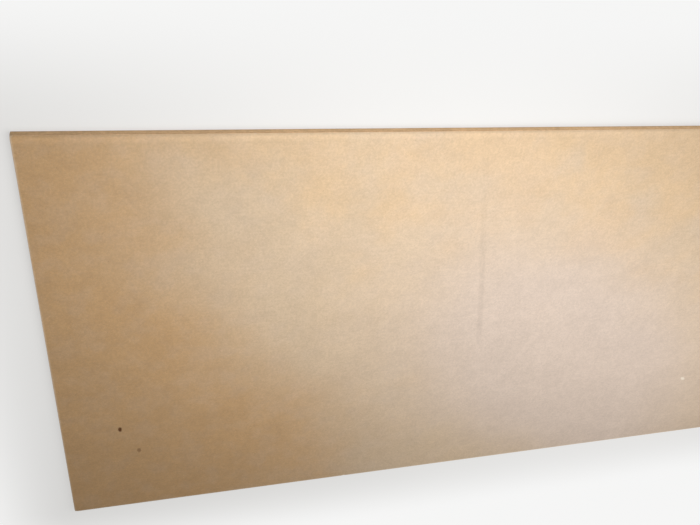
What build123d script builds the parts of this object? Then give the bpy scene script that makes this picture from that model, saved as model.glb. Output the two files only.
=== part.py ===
from build123d import *
import os

# Driving dimensions, in millimetres
# An eight by four foot sheet, the commonest size that medium density fibreboard is sold in
board_length = 2440.0
board_width = 1220.0
board_thickness = 18.0

# The sheet leaves the mill with square sawn corners, which handling blunts a little
corner_radius = 1.5

# The arris between each sanded face and the four sawn edges is just eased
arris_radius = 0.5

# Frame: origin at the middle of the underside, X along the length, Y across the width,
# Z through the thickness, with the face that is seen in use on top
floor_plane = Plane.XY

# One pressed and sawn piece: the outline lies on the floor plane and is raised by the thickness
with BuildPart() as mdf_board:
    with BuildSketch(floor_plane) as outline:
        Rectangle(board_length, board_width)
        fillet(outline.vertices(), radius=corner_radius)
    extrude(amount=board_thickness)

    # Both faces are ringed by arrises that run round the blunted corners without a break
    sanded_faces = mdf_board.faces().filter_by(Axis.Z)
    fillet(sanded_faces.edges(), radius=arris_radius)

mdf_board.part.label = "mdf_board"

os.makedirs("parts", exist_ok=True)
export_step(mdf_board.part, "parts/mdf_board.step")
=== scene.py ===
import math

import bmesh
import bpy
from mathutils import Matrix, Vector, noise
from mathutils.geometry import delaunay_2d_cdt


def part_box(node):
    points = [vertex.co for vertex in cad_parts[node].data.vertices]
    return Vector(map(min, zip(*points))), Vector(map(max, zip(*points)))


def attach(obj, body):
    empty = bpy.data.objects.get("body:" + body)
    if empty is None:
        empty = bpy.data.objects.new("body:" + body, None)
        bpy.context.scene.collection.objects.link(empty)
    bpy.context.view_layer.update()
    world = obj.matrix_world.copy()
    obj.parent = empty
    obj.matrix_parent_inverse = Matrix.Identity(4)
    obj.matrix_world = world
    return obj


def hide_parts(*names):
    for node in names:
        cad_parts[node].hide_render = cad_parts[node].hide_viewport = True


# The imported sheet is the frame: one node, lying on the floor with its better face up
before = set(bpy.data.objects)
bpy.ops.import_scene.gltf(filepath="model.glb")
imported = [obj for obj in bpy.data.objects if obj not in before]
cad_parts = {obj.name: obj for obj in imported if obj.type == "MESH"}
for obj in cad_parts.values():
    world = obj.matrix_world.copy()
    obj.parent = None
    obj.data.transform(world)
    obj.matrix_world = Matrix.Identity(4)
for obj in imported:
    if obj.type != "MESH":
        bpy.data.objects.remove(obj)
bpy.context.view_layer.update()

NODE = "mdf_board"
BODY = "root"
MM = 0.001
sheet_low, sheet_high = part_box(NODE)
HALF_LENGTH = sheet_high.x
HALF_WIDTH = sheet_high.y
FLOOR = sheet_low.z
FACE = sheet_high.z

# Camera, at the photograph's angle to the face of the sheet
EYE = Vector((-0.9611, 1.3256, 1.4515))
AIM = Vector((-0.4785, 0.2475, FACE))
ROLL = math.radians(7.771)
LENS_MM = 37.8
SENSOR_MM = 36.0
NEAREST_SEEN = 0.05
FARTHEST_SEEN = 200

# Outline of the sheet, its eased arrises and its sawn edges
CORNER_RADIUS = 1.5 * MM
CORNER_STEPS = 8
ARRIS_RADIUS = 0.5 * MM
ARRIS_WANDER = 0.3 * MM
ARRIS_STEPS = 4
EDGE_STEPS = 8
SAW_DEPTH = 0.12 * MM
FINE_PITCH = 0.8 * MM
OUTLINE_PITCH = 5.0 * MM
PITCH_GROWTH = 0.25

# Random relief, as waves a metre, and the part of the pattern that each arris takes
ARRIS_WAVES = 9
UPPER_ARRIS_PART = 3.1
LOWER_ARRIS_PART = 8.7
SAW_WAVES = 70
SAW_LAYERS = 260
KNOCK_WAVES = 500

# How rough the floor of a knock is, and how much stronger its bruise is than its dent
KNOCK_ROUGHNESS = 0.35
BRUISE_GAIN = 1.5

# Points inside a face: rows beside its outline, as inset and spacing, and a grid between them,
# all clear of the outline and the dents, and the distance below which two points are one
RIM_ROWS = ((5 * MM, 7 * MM), (13 * MM, 12 * MM), (28 * MM, 24 * MM), (52 * MM, 45 * MM))
FACE_PITCH = 80.0 * MM
FACE_CLEARANCE = 1.3 * MM
MERGE_DISTANCE = 1e-7

# Rings of points in and round each dent, and how much wider than the dent they reach
DENT_RINGS = 7
DENT_SPOKES = 20
DENT_SPREAD = 1.3

# Small knocks on the arrises: place, upper (1) or lower (-1) arris, reach and depth
KNOCKS = (
    ((-HALF_LENGTH, HALF_WIDTH), 1, 7 * MM, 0.9 * MM),
    ((-HALF_LENGTH, -HALF_WIDTH), 1, 8 * MM, 1.2 * MM),
    ((HALF_LENGTH, HALF_WIDTH), -1, 10 * MM, 1.6 * MM),
    ((HALF_LENGTH, -HALF_WIDTH), 1, 8 * MM, 1.2 * MM),
    ((HALF_LENGTH, -HALF_WIDTH), -1, 6 * MM, 0.9 * MM),
    ((-0.731, HALF_WIDTH), 1, 4 * MM, 0.5 * MM),
    ((0.915, HALF_WIDTH), -1, 6 * MM, 0.8 * MM),
    ((-0.402, -HALF_WIDTH), 1, 5 * MM, 0.7 * MM),
    ((0.648, -HALF_WIDTH), -1, 5 * MM, 0.7 * MM),
    ((-HALF_LENGTH, 0.137), -1, 5 * MM, 0.7 * MM),
    ((HALF_LENGTH, -0.226), 1, 5 * MM, 0.8 * MM),
)

# Colours of the fibreboard, as linear values
TAN = (0.578, 0.452, 0.318)
STRAW = (0.608, 0.448, 0.282)
# The greyer colour is the face's own in small patches, and painted light, a cooler cast, in the
# greyer band
GREYED = (0.566, 0.472, 0.402)
# The browner colour is painted shade: it darkens the left end of the face, where less light falls
SHADE_BROWN = (0.552, 0.355, 0.182)
PALE_FIBRE = (0.700, 0.560, 0.400)
DARK_FIBRE = (0.300, 0.195, 0.110)
STAIN = (0.125, 0.052, 0.016)
CHALK = (0.780, 0.710, 0.600)
EDGE_CORE = (0.705, 0.478, 0.272)
EDGE_SKIN = (0.625, 0.400, 0.215)

# Marks on the upper face: a dark dot and a brown speck, each in a shallow pit, and a pale spot
DOT_PLACE = (-1.0706, -0.2778)
DOT_RADII = (6.5 * MM, 12.0 * MM)
SPECK_PLACE = (-1.0253, -0.3717)
SPECK_RADII = (7.4 * MM, 11.5 * MM)
SPOT_PLACE = (0.7688, -0.3301)
SPOT_RADII = (13.2 * MM, 7.4 * MM)

# Pits under two of those marks: place, radii and depth
PITS = (
    (DOT_PLACE, DOT_RADII, 0.8 * MM),
    (SPECK_PLACE, SPECK_RADII, 0.4 * MM),
)

# Paint of the marks: place, radii, turn from X in degrees, raggedness, share and colour
MARKS = (
    (SPOT_PLACE, SPOT_RADII, -34, 0.3, 0.8, CHALK),
    (SPECK_PLACE, SPECK_RADII, 0, 0.6, 0.5, STAIN),
    (DOT_PLACE, DOT_RADII, 0, 0.5, 1.0, STAIN),
)

# Rim of a mark, as shares of its radii: where it starts to fade, and the size of its rags
MARK_CORE = 0.45
MARK_RAGS = 0.6

# A faint darker streak: its ends, its half width and how far it darkens the face
STREAK_TOP = (-0.1748, 0.5596)
STREAK_END = (-0.0466, -0.0863)
STREAK_HALF_WIDTH = 12.0 * MM
STREAK_DARKENING = 0.085

# How the streak fades: its core as a share of its half width, its strength at the top, and,
# as shares of its length, where it is fully strong and where it starts to end
STREAK_CORE = 0.3
STREAK_TOP_STRENGTH = 0.25
STREAK_FULL = 0.6
STREAK_FADE = 0.97

# Patches in the streak: their size, then the levels of the pattern and the strengths there
STREAK_PATCH_SIZE = 0.04
STREAK_PATCH_LEVELS = (0.3, 0.6, 0.5, 1.0)

# Levels between which a random pattern mostly stays
PATTERN_LEVELS = (0.3, 0.7)

# Where in the endless random patterns each material takes its own part
FACE_PART = (17.3, 5.9, 2.7)
BACK_PART = (-11.4, 8.2, 31.6)
EDGE_PART = (6.1, 2.3, 4.7)

# Mottle of a face and of a sawn edge: size of its patches, detail, and change of tone
FACE_MOTTLE = ((0.13, 3, 0.02), (0.035, 2, 0.02), (0.012, 2, 0.03))
EDGE_MOTTLE = ((0.12, 3, 0.06), (0.012, 3, 0.07))

# Slopes of colour over a face: direction, then where each starts and ends, and its levels there
STRAW_SLOPE = ((0.25, 1, 0), -0.05, 0.7, -0.1, 0.3)
# The browner slope is painted shade, strongest towards the left end and the lower side
SHADE_BROWN_SLOPE = ((1, 0.5, 0), -1.25, -0.3, 0.45, -0.2)

# The greyer band is painted light, a cooler cast where the light falls brightest: a slope
# along it and one at its end, given in the same way, the direction across it, and the half
# widths where it starts to fade and where it has gone
LIGHT_CAST_SLOPE = ((0.81, -0.58, 0), -0.8, 0.3)
LIGHT_CAST_END = ((1, 0, 0), 0.5, 1.1, 1.0, 0.2)
LIGHT_CAST_ACROSS = (0.58, 0.81, 0)
LIGHT_CAST_HALF_WIDTHS = (0.05, 0.6)

# Sizes of the random patches that blur those colours, and the range of the broadest ones
DRIFT_SIZE = 0.45
DRIFT_RANGE = (0.4, 0.6)
STRAW_SIZE = 0.16

# Levels between which each colour comes in, the greyer one as painted light, the browner one as
# painted shade
STRAW_LEVELS = (0.45, 0.8)
LIGHT_CAST_LEVELS = (0.5, 1.4)
SHADE_BROWN_LEVELS = (0.35, 0.85)

# Small greyer patches all over a face
TINT_SIZE = 0.055
TINT_LEVELS = (0.4, 0.7)
TINT_SHARE = 0.12

# Grain of a face: size and change of tone of its fine grain, speckle and sanding lines
FINE_SIZE = 1.4 * MM
FINE_CHANGE = 0.05
SPECKLE_SIZE = 6.0 * MM
SPECKLE_CHANGE = 0.035
SANDING_SIZE = (0.9, 5 * MM)
SANDING_CHANGE = 0.006

# Roughness of a face, and the depth of its fine relief, with the speckle's share of it
FACE_ROUGHNESS = (0.72, 0.88)
FACE_RELIEF = 0.12 * MM
SPECKLE_RELIEF = 0.2

# Single fibres of a face: turn from X in degrees, colour and share
FIBRES = (
    (12, PALE_FIBRE, 0.45),
    (71, PALE_FIBRE, 0.4),
    (134, DARK_FIBRE, 0.2),
    (38, DARK_FIBRE, 0.18),
)
FIBRE_SIZE = (4.5 * MM, 0.6 * MM)
FIBRE_LEVELS = (0.6, 0.75)

# Bark specks of a face
BARK_SIZE = 2.6 * MM
BARK_LEVELS = (0.72, 0.8)
BARK_SHARE = 0.5

# Rim of a face, rubbed paler: its reach, its share, and the size and depth of its waves
RUBBED_REACH = (3 * MM, 7 * MM)
RUBBED_SHARE = 0.6
RUBBED_WAVE_SIZE = 0.05
RUBBED_WAVE_DEPTH = 4 * MM

# How far torn fibre covers a bruise
BRUISE_SHARE = 0.5

# Upper side of the marked face: darker at its arris, then paler, most of all towards the left
DARK_RIM_WIDTH = 9 * MM
DARK_RIM_TONE = 0.8
PALER_REACH = (16 * MM, 27 * MM)
PALER_SLOPE = ((1, 0, 0), -0.7, 0.2, 1.09, 1.03)
PALER_WAVE_SIZE = 0.09
PALER_WAVE_DEPTH = 8 * MM

# Denser skins of a sawn edge: where they start and are full, from the middle, and their waves
SKIN_REACH = (4.5 * MM, 9.5 * MM)
SKIN_WAVE_SIZE = 6 * MM
SKIN_WAVE_DEPTH = 2 * MM

# Grain of a sawn edge: size and change of tone of its bundles of fibre, and the same of its saw
# lines and its layers, whose size is given as patches a metre along each axis
BUNDLE_SIZE = 1.7 * MM
BUNDLE_CHANGE = 0.13
SAW_LINES = (700, 700, 45)
SAW_CHANGE = 0.04
EDGE_LAYERS = (60, 60, 900)
LAYER_CHANGE = 0.03

# Pale and dark fibre of a sawn edge
PALE_SIZE = 1.3 * MM
PALE_LEVELS = (0.6, 0.75)
PALE_SHARE = 0.4
DARK_SIZE = 1.5 * MM
DARK_LEVELS = (0.25, 0.38)
DARK_SHARE = 0.4

# Rounded rims of a sawn edge, paler from one distance below a face to another
ROUNDED_START = 1.0 * MM
ROUNDED_END = 0.3 * MM
ROUNDED_SHARE = 0.35

# Roughness of a sawn edge, and the depth of its fine relief, with the saw lines' share of it
EDGE_ROUGHNESS = (0.84, 0.96)
EDGE_RELIEF = 0.25 * MM
SAW_RELIEF = 0.3

# Shine of the fibreboard, which is faint
SPECULAR = 0.25

# Stage: the floor keeps its own shading beside the sheet, and fades to the plain background
FLOOR_SIZE = 60.0
FLOOR_COLOUR = (0.70, 0.70, 0.69)
BACKGROUND = (0.92, 0.92, 0.915)
BACKGROUND_SHARE = 0.6
BACKGROUND_REACH = 0.3

# Light
AMBIENT_COLOUR = (1.0, 0.92, 0.82)
AMBIENT = 0.24

# Soft lamps: place, the point each faces, width and depth, power and colour
LAMPS = {
    "key": ((-0.36, 0.56, 0.95), (-0.36, 0.56, 0.0), (1.2, 0.9), 11.8, (1.0, 0.99, 0.98)),
    "fill": ((0.87, -0.13, 0.85), (0.87, -0.13, 0.0), (1.8, 0.9), 9.3, (1.0, 0.99, 1.0)),
    "side": ((0.39, 2.40, 0.45), (0.39, 0.60, 0.0), (1.8, 0.8), 7.6, (1.0, 0.97, 0.93)),
}


def make_camera():
    """A camera that sees the sheet as the photograph does, with the same roll."""
    view = (AIM - EYE).normalized()
    level_up = Vector((0, 1, 0))
    level_up = (level_up - view * level_up.dot(view)).normalized()
    up = Matrix.Rotation(ROLL, 3, -view) @ level_up
    right = view.cross(up)
    data = bpy.data.cameras.new("camera")
    data.lens = LENS_MM
    data.sensor_width = SENSOR_MM
    data.clip_start = NEAREST_SEEN
    data.clip_end = FARTHEST_SEEN
    camera = bpy.data.objects.new("camera", data)
    axes = Matrix((right, up, -view)).transposed()
    camera.matrix_world = Matrix.Translation(EYE) @ axes.to_4x4()
    bpy.context.scene.collection.objects.link(camera)
    bpy.context.scene.camera = camera


# The sheet's mesh

def stations(start, end):
    """Distances along a straight edge, closer together round a knock."""
    length = (end - start).length
    along = (end - start) / length
    places = [0.0]
    while places[-1] < length:
        here = start + along * places[-1]
        clear = min((here - Vector(spot)).length - reach for spot, _, reach, _ in KNOCKS)
        step = min(max(clear * PITCH_GROWTH, FINE_PITCH), OUTLINE_PITCH)
        places.append(places[-1] + step)
    return [place * length / places[-1] for place in places]


def walk_outline():
    """Places round the sheet's edge, anticlockwise, each with its outward direction."""
    flat_x = HALF_LENGTH - CORNER_RADIUS
    flat_y = HALF_WIDTH - CORNER_RADIUS
    centres = [Vector((flat_x, flat_y)), Vector((-flat_x, flat_y))]
    centres += [-centre for centre in centres]
    walk = []
    for side, centre in enumerate(centres):
        for step in range(CORNER_STEPS + 1):
            angle = math.radians(90) * (side + step / CORNER_STEPS)
            outward = Vector((math.cos(angle), math.sin(angle)))
            walk.append((centre + outward * CORNER_RADIUS, outward))
        start = walk[-1][0]
        end = centres[(side + 1) % len(centres)] + outward * CORNER_RADIUS
        along = (end - start).normalized()
        for distance in stations(start, end)[1:-1]:
            walk.append((start + along * distance, outward))
    return walk


def arris_profile(radius):
    """Pairs of inset and depth below the face, from the face round to the edge."""
    profile = []
    for step in range(ARRIS_STEPS + 1):
        angle = math.radians(90) * step / ARRIS_STEPS
        profile.append((radius * (1 - math.sin(angle)), radius * (1 - math.cos(angle))))
    return profile


def edge_section(place, outward):
    """One upright line of the edge, from the upper face to the underside."""
    def point(inset, height):
        flat = place - outward * inset
        return Vector((flat.x, flat.y, height))

    def worn(part):
        wander = noise.noise(Vector((place.x * ARRIS_WAVES, place.y * ARRIS_WAVES, part)))
        return ARRIS_RADIUS + ARRIS_WANDER * (0.5 + wander)

    upper = worn(UPPER_ARRIS_PART)
    lower = worn(LOWER_ARRIS_PART)
    section = [point(inset, FACE - depth) for inset, depth in arris_profile(upper)]
    for step in range(1, EDGE_STEPS):
        share = step / EDGE_STEPS
        height = (FACE - upper) * (1 - share) + (FLOOR + lower) * share
        grain = noise.noise(Vector((place.x * SAW_WAVES, place.y * SAW_WAVES, height * SAW_LAYERS)))
        core = math.sin(math.radians(180) * share)
        section.append(point(SAW_DEPTH * core * (0.5 + 0.5 * grain), height))
    section += [point(inset, FLOOR + depth) for inset, depth in reversed(arris_profile(lower))]
    return section


def dents_of(side):
    """Places and reach of the knocks and pits in the upper (1) or lower (-1) face."""
    dents = [(spot, reach) for spot, arris, reach, _ in KNOCKS if arris == side]
    if side > 0:
        dents += [(spot, max(radii)) for spot, radii, _ in PITS]
    return dents


def dent_points(dents):
    """Extra points that a face needs in and round its dents."""
    points = []
    for (x, y), reach in dents:
        for ring in range(1, DENT_RINGS + 1):
            radius = reach * DENT_SPREAD * ring / DENT_RINGS
            for spoke in range(DENT_SPOKES):
                angle = math.radians(360) * (spoke + ring % 2 / 2) / DENT_SPOKES
                points.append(Vector((x + radius * math.cos(angle), y + radius * math.sin(angle))))
    inner_x = HALF_LENGTH - FACE_CLEARANCE
    inner_y = HALF_WIDTH - FACE_CLEARANCE
    return [point for point in points if abs(point.x) < inner_x and abs(point.y) < inner_y]


def row_points(inset, pitch):
    """Evenly spaced points on a rectangle that lies inset from the sheet's outline."""
    half_x = HALF_LENGTH - inset
    half_y = HALF_WIDTH - inset
    corners = [Vector((half_x, half_y)), Vector((-half_x, half_y))]
    corners += [-corner for corner in corners]
    points = []
    for start, end in zip(corners, corners[1:] + corners[:1]):
        count = round((end - start).length / pitch)
        points += [start.lerp(end, step / count) for step in range(count)]
    return points


def flat_points(dents):
    """Points that keep the triangles of a face compact, where it has no dent."""
    points = [point for inset, pitch in RIM_ROWS for point in row_points(inset, pitch)]
    columns = round(2 * HALF_LENGTH / FACE_PITCH)
    rows = round(2 * HALF_WIDTH / FACE_PITCH)
    for column in range(1, columns):
        for row in range(1, rows):
            x = HALF_LENGTH * (2 * column / columns - 1)
            y = HALF_WIDTH * (2 * row / rows - 1)
            points.append(Vector((x, y)))
    clear = [(Vector(spot), reach * DENT_SPREAD + FACE_CLEARANCE) for spot, reach in dents]
    return [point for point in points if all((point - spot).length > gap for spot, gap in clear)]


def dented(place):
    """A place on the sheet after its knocks and pits, and how far a knock bruised its fibre."""
    moved = place.copy()
    bruise = 0.0
    for (x, y), arris, reach, depth in KNOCKS:
        centre = Vector((x, y, FACE if arris > 0 else FLOOR))
        away = (place - centre).length / reach
        if away < 1:
            inward = Vector((0, 0, -arris))
            inward.x = -math.copysign(1, x) if abs(x) == HALF_LENGTH else 0
            inward.y = -math.copysign(1, y) if abs(y) == HALF_WIDTH else 0
            rough = 1 + KNOCK_ROUGHNESS * noise.noise(place * KNOCK_WAVES)
            share = (1 - away ** 2) * rough
            moved += inward.normalized() * depth * share
            bruise = max(bruise, min(share * BRUISE_GAIN, 1))
    for (x, y), (wide, tall), depth in PITS:
        away = math.hypot((place.x - x) / wide, (place.y - y) / tall)
        if away < 1 and place.z > (FACE + FLOOR) / 2:
            moved.z -= depth * (1 - away ** 2) ** 2
    return moved, bruise


def fill_face(places, ring, side):
    """Adds a face's inner points to places, and gives the triangles that fill the ring."""
    height = FACE if side > 0 else FLOOR
    rim = [Vector((places[i].x, places[i].y)) for i in ring]
    dents = dents_of(side)
    inner = dent_points(dents) + flat_points(dents)
    first_inner = len(places)
    places += [Vector((point.x, point.y, height)) for point in inner]
    index = list(ring) + list(range(first_inner, len(places)))
    loop = list(range(len(rim)))
    inside_only = 1
    filled = delaunay_2d_cdt(rim + inner, [], [loop], inside_only, MERGE_DISTANCE)
    triangles, sources = filled[2], filled[3]
    triangles = [[index[sources[i][0]] for i in triangle] for triangle in triangles]
    if side < 0:
        triangles = [triangle[::-1] for triangle in triangles]
    return triangles


def make_sheet(face_material, back_material, edge_material):
    """The sheet as one closed mesh: two filled faces and the edge that joins them."""
    sections = [edge_section(place, outward) for place, outward in walk_outline()]
    rows = len(sections[0])
    count = len(sections)
    places = [point for section in sections for point in section]
    quads = []
    for i in range(count):
        here = i * rows
        after = (i + 1) % count * rows
        for row in range(rows - 1):
            quads.append([here + row, here + row + 1, after + row + 1, after + row])
    upper = fill_face(places, range(0, count * rows, rows), 1)
    under = fill_face(places, range(rows - 1, count * rows, rows), -1)

    mesh = bpy.data.meshes.new("mdf_sheet")
    moved = [dented(place) for place in places]
    mesh.from_pydata([place for place, _ in moved], [], upper + under + quads)
    for material in (face_material, back_material, edge_material):
        mesh.materials.append(material)
    slots = [0] * len(upper) + [1] * len(under) + [2] * len(quads)
    mesh.polygons.foreach_set("material_index", slots)
    mesh.polygons.foreach_set("use_smooth", [True] * len(slots))
    bruises = mesh.attributes.new("bruise", "FLOAT", "POINT")
    bruises.data.foreach_set("value", [bruise for _, bruise in moved])

    # The flat faces keep their own upright shading, apart from the rounded arrises
    body = bmesh.new()
    body.from_mesh(mesh)
    for edge in body.edges:
        edge.smooth = len({face.material_index for face in edge.link_faces}) == 1
    body.to_mesh(mesh)
    body.free()
    mesh.validate()

    sheet = bpy.data.objects.new("mdf_sheet", mesh)
    bpy.context.scene.collection.objects.link(sheet)
    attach(sheet, BODY)
    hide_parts(NODE)


# Materials

class Paint:
    """A material with one Principled shader, and short names for the nodes that drive it.

    spot is where a point lies on the sheet, and place is that point moved to the material's
    own part of the random patterns.
    """

    def __init__(self, name, part=(0, 0, 0)):
        self.material = bpy.data.materials.new(name)
        self.material.use_nodes = True
        self.nodes = self.material.node_tree.nodes
        self.links = self.material.node_tree.links
        self.shader = self.nodes["Principled BSDF"]
        self.spot = self.add("ShaderNodeTexCoord").outputs["Object"]
        self.place = self.mapped(self.spot, Location=part)

    def add(self, kind, **settings):
        node = self.nodes.new(kind)
        for name, value in settings.items():
            setattr(node, name, value)
        return node

    def plug(self, socket, value):
        """Links a socket to value, or sets it where value is a plain number or colour."""
        if isinstance(value, bpy.types.NodeSocket):
            self.links.new(value, socket)
        elif socket.type == "RGBA":
            socket.default_value = (*value, 1)
        else:
            socket.default_value = value

    def mapped(self, vector, **changes):
        node = self.add("ShaderNodeMapping")
        self.plug(node.inputs["Vector"], vector)
        for name, value in changes.items():
            node.inputs[name].default_value = value
        return node.outputs[0]

    def noise(self, size, detail, vector=None):
        """A soft random pattern, from 0 to 1, whose patches are about size metres."""
        node = self.add("ShaderNodeTexNoise")
        node.inputs["Scale"].default_value = 1 / size
        node.inputs["Detail"].default_value = detail
        self.plug(node.inputs["Vector"], vector or self.place)
        return node.outputs["Fac"]

    def scaled_noise(self, scale, detail):
        """A random pattern with its own number of patches a metre along each axis."""
        return self.noise(1, detail, self.mapped(self.place, Scale=scale))

    def fibres(self, size, turn):
        """A random pattern drawn out into fibres of a length and width, turn degrees from X."""
        length, width = size
        turned = self.mapped(self.place, Rotation=(0, 0, math.radians(turn)))
        stretched = self.mapped(turned, Scale=(1 / length, 1 / width, 1 / width))
        return self.noise(1, 1, stretched)

    def math(self, operation, a, b=0.0):
        node = self.add("ShaderNodeMath", operation=operation)
        self.plug(node.inputs[0], a)
        self.plug(node.inputs[1], b)
        return node.outputs[0]

    def vector(self, operation, a, b, output="Vector"):
        node = self.add("ShaderNodeVectorMath", operation=operation)
        self.plug(node.inputs[0], a)
        self.plug(node.inputs["Scale" if operation == "SCALE" else 1], b)
        return node.outputs[output]

    def ramp(self, value, start, end, first=0.0, last=1.0):
        """Goes smoothly from first to last as value goes from start to end."""
        node = self.add("ShaderNodeMapRange", interpolation_type="SMOOTHSTEP")
        for name, number in zip(("Value", "From Min", "From Max", "To Min", "To Max"),
                                (value, start, end, first, last)):
            self.plug(node.inputs[name], number)
        return node.outputs["Result"]

    def along(self, direction, spot=None):
        """How far along a direction each spot of the sheet lies, or the spot that is given."""
        return self.vector("DOT_PRODUCT", spot or self.spot, direction, "Value")

    def slope(self, direction, start, end, first=0.0, last=1.0):
        """Goes smoothly from first to last along a direction on the sheet."""
        return self.ramp(self.along(direction), start, end, first, last)

    def vary(self, pattern, change):
        """A tone that a random pattern moves to either side of 1, by up to change."""
        return self.ramp(pattern, *PATTERN_LEVELS, 1 - change, 1 + change)

    def mottle(self, patches):
        """Tones of soft patterns, each given by the size of its patches, detail and change."""
        return [self.vary(self.noise(size, detail), change) for size, detail, change in patches]

    def uneven(self, distance, wave_size, wave_depth, detail):
        """A distance that wavers, so that a rim drawn with it isn't ruled."""
        wave = self.math("MULTIPLY", self.noise(wave_size, detail), wave_depth)
        return self.math("ADD", distance, wave)

    def product(self, factors):
        result = factors[0]
        for factor in factors[1:]:
            result = self.math("MULTIPLY", result, factor)
        return result

    def mix(self, share, a, b):
        node = self.add("ShaderNodeMix", data_type="RGBA")
        colours = [socket for socket in node.inputs if socket.type == "RGBA"]
        self.plug(node.inputs[0], share)
        self.plug(colours[0], a)
        self.plug(colours[1], b)
        return next(socket for socket in node.outputs if socket.type == "RGBA")

    def mark(self, place, radii, turn, ragged, share):
        """share at a place on the sheet, falling to 0 at its ragged rim, turn degrees from X."""
        flat = self.vector("MULTIPLY", self.spot, (1, 1, 0))
        from_place = self.vector("SUBTRACT", flat, (*place, 0))
        turned = self.mapped(from_place, Rotation=(0, 0, math.radians(-turn)))
        outward = self.vector("DIVIDE", turned, (*radii, 1))
        away = self.vector("LENGTH", outward, (0, 0, 0), "Value")
        rags = self.math("SUBTRACT", self.noise(min(radii) * MARK_RAGS, 3), 0.5)
        away = self.math("ADD", away, self.math("MULTIPLY", rags, ragged))
        return self.ramp(away, MARK_CORE, 1.0, share, 0.0)

    def bruised(self, colour, fibre):
        """A colour that turns to torn fibre where a knock bruised the sheet."""
        bruise = self.add("ShaderNodeAttribute", attribute_name="bruise").outputs["Fac"]
        return self.mix(self.math("MULTIPLY", bruise, BRUISE_SHARE), colour, fibre)

    def axes(self):
        node = self.add("ShaderNodeSeparateXYZ")
        self.plug(node.inputs[0], self.spot)
        return node.outputs

    def finish(self, colour, roughness, height, relief):
        """The finished material, with its height pattern as fine relief."""
        bump = self.add("ShaderNodeBump")
        bump.inputs["Distance"].default_value = relief
        self.plug(bump.inputs["Height"], height)
        self.plug(self.shader.inputs["Normal"], bump.outputs[0])
        self.plug(self.shader.inputs["Base Color"], colour)
        self.plug(self.shader.inputs["Roughness"], roughness)
        self.shader.inputs["Specular IOR Level"].default_value = SPECULAR
        return self.material


def face_drifts(paint):
    """Broad colour of a face: tan, straw, greyer painted light and browner painted shade, run
    together.
    """
    drift = paint.ramp(paint.noise(DRIFT_SIZE, 2), *PATTERN_LEVELS, *DRIFT_RANGE)
    straw = paint.math("ADD", paint.slope(*STRAW_SLOPE), paint.noise(STRAW_SIZE, 4))
    colour = paint.mix(paint.ramp(straw, *STRAW_LEVELS), TAN, STRAW)

    # The greyer part is painted light, a cooler cast, in a band that slants to the lower right,
    # and fades towards the right end
    across = paint.math("ABSOLUTE", paint.along(LIGHT_CAST_ACROSS))
    band = paint.math("MULTIPLY", paint.slope(*LIGHT_CAST_SLOPE),
                      paint.ramp(across, *LIGHT_CAST_HALF_WIDTHS, 1.0, 0.0))
    light_cast = paint.math("MULTIPLY", paint.ramp(paint.math("ADD", band, drift), *LIGHT_CAST_LEVELS),
                        paint.slope(*LIGHT_CAST_END))
    colour = paint.mix(light_cast, colour, GREYED)

    # Painted shade: browner and darker towards the left end and the lower side
    brown = paint.math("ADD", paint.slope(*SHADE_BROWN_SLOPE), drift)
    colour = paint.mix(paint.ramp(brown, *SHADE_BROWN_LEVELS), colour, SHADE_BROWN)
    tint = paint.ramp(paint.noise(TINT_SIZE, 2), *TINT_LEVELS, 0.0, TINT_SHARE)
    return paint.mix(tint, colour, GREYED)


def face_fibres(paint, colour):
    """Single fibres in a few directions, and a scatter of dark bark specks."""
    for turn, kind, share in FIBRES:
        fibre = paint.ramp(paint.fibres(FIBRE_SIZE, turn), *FIBRE_LEVELS, 0.0, share)
        colour = paint.mix(fibre, colour, kind)
    bark = paint.ramp(paint.noise(BARK_SIZE, 1), *BARK_LEVELS, 0.0, BARK_SHARE)
    return paint.mix(bark, colour, DARK_FIBRE)


def rubbed_rim(paint, colour, x, y, marked):
    """Rubs the rim of a face paler, apart from the upper side of the marked face."""
    from_end = paint.math("SUBTRACT", HALF_LENGTH, paint.math("ABSOLUTE", x))
    to_side = paint.math("MULTIPLY", y, -1.0) if marked else paint.math("ABSOLUTE", y)
    from_side = paint.math("SUBTRACT", HALF_WIDTH, to_side)
    from_rim = paint.math("MINIMUM", from_end, from_side)
    from_rim = paint.uneven(from_rim, RUBBED_WAVE_SIZE, RUBBED_WAVE_DEPTH, 3)
    rubbed = paint.ramp(from_rim, *RUBBED_REACH, RUBBED_SHARE, 0.0)
    return paint.mix(rubbed, colour, PALE_FIBRE)


def upper_rim(paint, y):
    """Tone along the upper side: darker at its arris, and then a slightly paler band."""
    from_side = paint.math("SUBTRACT", HALF_WIDTH, y)
    wavering = paint.uneven(from_side, PALER_WAVE_SIZE, PALER_WAVE_DEPTH, 2)
    paler = paint.ramp(wavering, *PALER_REACH, paint.slope(*PALER_SLOPE), 1.0)
    dark_rim = paint.ramp(from_side, 0.0, DARK_RIM_WIDTH, DARK_RIM_TONE, 1.0)
    return paint.math("MULTIPLY", paler, dark_rim)


def streak(paint):
    """Tone of a faint darker line that runs across the width of the face."""
    top = Vector((*STREAK_TOP, 0))
    line = Vector((*STREAK_END, 0)) - top
    length = line.length
    direction = line.normalized()
    side = Vector((-direction.y, direction.x, 0))
    from_top = paint.vector("SUBTRACT", paint.spot, top)
    along = paint.along(direction, from_top)
    across = paint.math("ABSOLUTE", paint.along(side, from_top))
    strength = paint.product([
        paint.ramp(across, STREAK_HALF_WIDTH * STREAK_CORE, STREAK_HALF_WIDTH, 1.0, 0.0),
        paint.ramp(along, 0.0, length * STREAK_FULL, STREAK_TOP_STRENGTH, 1.0),
        paint.ramp(along, length * STREAK_FADE, length, 1.0, 0.0),
        paint.ramp(paint.noise(STREAK_PATCH_SIZE, 2), *STREAK_PATCH_LEVELS),
    ])
    return paint.math("SUBTRACT", 1.0, paint.math("MULTIPLY", strength, STREAK_DARKENING))


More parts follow.
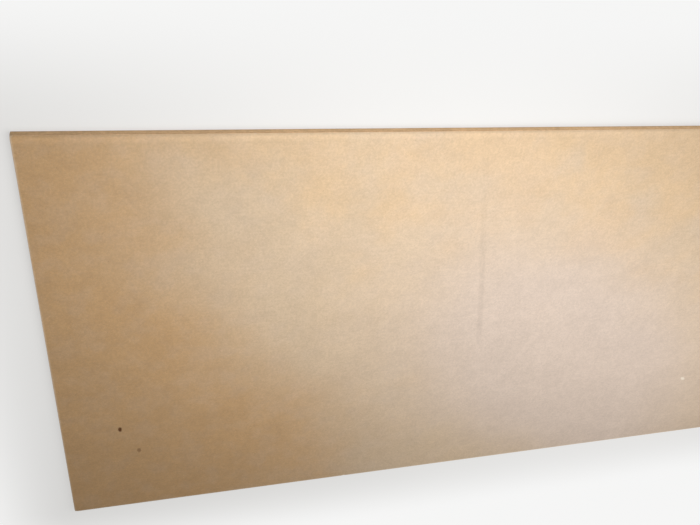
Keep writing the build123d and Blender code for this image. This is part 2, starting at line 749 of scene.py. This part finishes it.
def face_paint(name, part, marked):
    """Sanded face: colour drifts with painted light and shade, a soft mottle, fine grain, fibres and
    a worn rim.
    """
    paint = Paint(name, part)
    x, y, _ = paint.axes()
    fine = paint.noise(FINE_SIZE, 3)
    speckle = paint.noise(SPECKLE_SIZE, 2)
    tones = paint.mottle(FACE_MOTTLE)
    tones.append(paint.vary(speckle, SPECKLE_CHANGE))
    tones.append(paint.vary(fine, FINE_CHANGE))
    tones.append(paint.vary(paint.fibres(SANDING_SIZE, 0), SANDING_CHANGE))
    if marked:
        tones += [upper_rim(paint, y), streak(paint)]

    colour = face_fibres(paint, face_drifts(paint))
    colour = rubbed_rim(paint, colour, x, y, marked)
    colour = paint.bruised(colour, PALE_FIBRE)
    colour = paint.vector("SCALE", colour, paint.product(tones))
    if marked:
        for place, radii, turn, ragged, share, kind in MARKS:
            colour = paint.mix(paint.mark(place, radii, turn, ragged, share), colour, kind)

    roughness = paint.ramp(speckle, *PATTERN_LEVELS, *FACE_ROUGHNESS)
    height = paint.math("ADD", fine, paint.math("MULTIPLY", speckle, SPECKLE_RELIEF))
    return paint.finish(colour, roughness, height, FACE_RELIEF)


def edge_paint(name, part):
    """Sawn edge: coarser than the faces, with denser skins above and below its core."""
    paint = Paint(name, part)
    _, _, z = paint.axes()
    half = (FACE - FLOOR) / 2
    from_middle = paint.math("ABSOLUTE", paint.math("SUBTRACT", z, FLOOR + half))
    layer = paint.uneven(from_middle, SKIN_WAVE_SIZE, SKIN_WAVE_DEPTH, 2)
    colour = paint.mix(paint.ramp(layer, *SKIN_REACH), EDGE_CORE, EDGE_SKIN)

    bundle = paint.noise(BUNDLE_SIZE, 3)
    saw = paint.scaled_noise(SAW_LINES, 2)
    tones = paint.mottle(EDGE_MOTTLE)
    tones.append(paint.vary(bundle, BUNDLE_CHANGE))
    tones.append(paint.vary(saw, SAW_CHANGE))
    tones.append(paint.vary(paint.scaled_noise(EDGE_LAYERS, 2), LAYER_CHANGE))

    pale = paint.ramp(paint.noise(PALE_SIZE, 2), *PALE_LEVELS, 0.0, PALE_SHARE)
    colour = paint.mix(pale, colour, TAN)
    dark = paint.ramp(paint.noise(DARK_SIZE, 2), *DARK_LEVELS, DARK_SHARE, 0.0)
    colour = paint.mix(dark, colour, DARK_FIBRE)
    rounded = paint.ramp(from_middle, half - ROUNDED_START, half - ROUNDED_END, 0.0, ROUNDED_SHARE)
    colour = paint.mix(rounded, colour, PALE_FIBRE)
    colour = paint.bruised(colour, TAN)
    colour = paint.vector("SCALE", colour, paint.product(tones))

    roughness = paint.ramp(bundle, *PATTERN_LEVELS, *EDGE_ROUGHNESS)
    height = paint.math("ADD", bundle, paint.math("MULTIPLY", saw, SAW_RELIEF))
    return paint.finish(colour, roughness, height, EDGE_RELIEF)


# Stage and light

def background_share(tree):
    """1 for a ray that shows the background, also in a reflection or in glass, and 0 for others."""
    path = tree.nodes.new("ShaderNodeLightPath")
    share = path.outputs["Is Camera Ray"]
    for ray in ("Is Glossy Ray", "Is Transmission Ray"):
        either = tree.nodes.new("ShaderNodeMath")
        either.operation = "MAXIMUM"
        tree.links.new(share, either.inputs[0])
        tree.links.new(path.outputs[ray], either.inputs[1])
        share = either.outputs[0]
    return share


def make_stage():
    """A plain pale floor, shown evenly pale far away, that keeps the shadow near the sheet."""
    mesh = bpy.data.meshes.new("floor")
    half = FLOOR_SIZE / 2
    corners = [(-half, -half, FLOOR), (half, -half, FLOOR), (half, half, FLOOR), (-half, half, FLOOR)]
    mesh.from_pydata(corners, [], [(0, 1, 2, 3)])
    floor = bpy.data.objects.new("floor", mesh)
    bpy.context.scene.collection.objects.link(floor)

    paint = Paint("floor_paint")
    shader = paint.shader
    shader.inputs["Base Color"].default_value = (*FLOOR_COLOUR, 1)
    shader.inputs["Roughness"].default_value = 1.0
    shader.inputs["Specular IOR Level"].default_value = 0.0
    glow = paint.add("ShaderNodeEmission")
    glow.inputs["Color"].default_value = (*BACKGROUND, 1)
    from_middle = paint.vector("ABSOLUTE", paint.spot, (0, 0, 0))
    outside = paint.vector("SUBTRACT", from_middle, (HALF_LENGTH, HALF_WIDTH, 0))
    outside = paint.vector("MAXIMUM", outside, (0, 0, 0))
    away = paint.vector("LENGTH", outside, (0, 0, 0), "Value")
    fade = paint.ramp(away, 0.0, BACKGROUND_REACH, BACKGROUND_SHARE, 1.0)
    share = paint.math("MULTIPLY", background_share(paint.material.node_tree), fade)
    both = paint.add("ShaderNodeMixShader")
    paint.plug(both.inputs[0], share)
    paint.plug(both.inputs[1], shader.outputs[0])
    paint.plug(both.inputs[2], glow.outputs[0])
    paint.plug(paint.nodes["Material Output"].inputs["Surface"], both.outputs[0])
    mesh.materials.append(paint.material)


def make_world():
    """Even, faintly warm light from all round, behind which a plain background is shown."""
    world = bpy.data.worlds.new("studio")
    world.use_nodes = True
    nodes = world.node_tree.nodes
    links = world.node_tree.links
    ambient = nodes["Background"]
    ambient.inputs["Color"].default_value = (*AMBIENT_COLOUR, 1)
    ambient.inputs["Strength"].default_value = AMBIENT
    backdrop = nodes.new("ShaderNodeBackground")
    backdrop.inputs["Color"].default_value = (*BACKGROUND, 1)
    both = nodes.new("ShaderNodeMixShader")
    links.new(background_share(world.node_tree), both.inputs[0])
    links.new(ambient.outputs[0], both.inputs[1])
    links.new(backdrop.outputs[0], both.inputs[2])
    links.new(both.outputs[0], nodes["World Output"].inputs["Surface"])
    bpy.context.scene.world = world


def make_lamps():
    """Soft lamps above the middle and the right, so the light thins to the left, and one beside."""
    for name, (place, faced, size, watts, colour) in LAMPS.items():
        data = bpy.data.lights.new(name, "AREA")
        data.shape = "RECTANGLE"
        data.size, data.size_y = size
        data.energy = watts
        data.color = colour
        lamp = bpy.data.objects.new(name, data)
        lamp.location = place
        facing = Vector(faced) - Vector(place)
        lamp.rotation_euler = facing.to_track_quat("-Z", "Y").to_euler()
        lamp.visible_camera = False
        bpy.context.scene.collection.objects.link(lamp)


make_camera()
make_sheet(
    face_paint("mdf_face", FACE_PART, marked=True),
    face_paint("mdf_back", BACK_PART, marked=False),
    edge_paint("mdf_edge", EDGE_PART),
)
make_stage()
make_world()
make_lamps()
bpy.context.scene.view_settings.view_transform = "Standard"
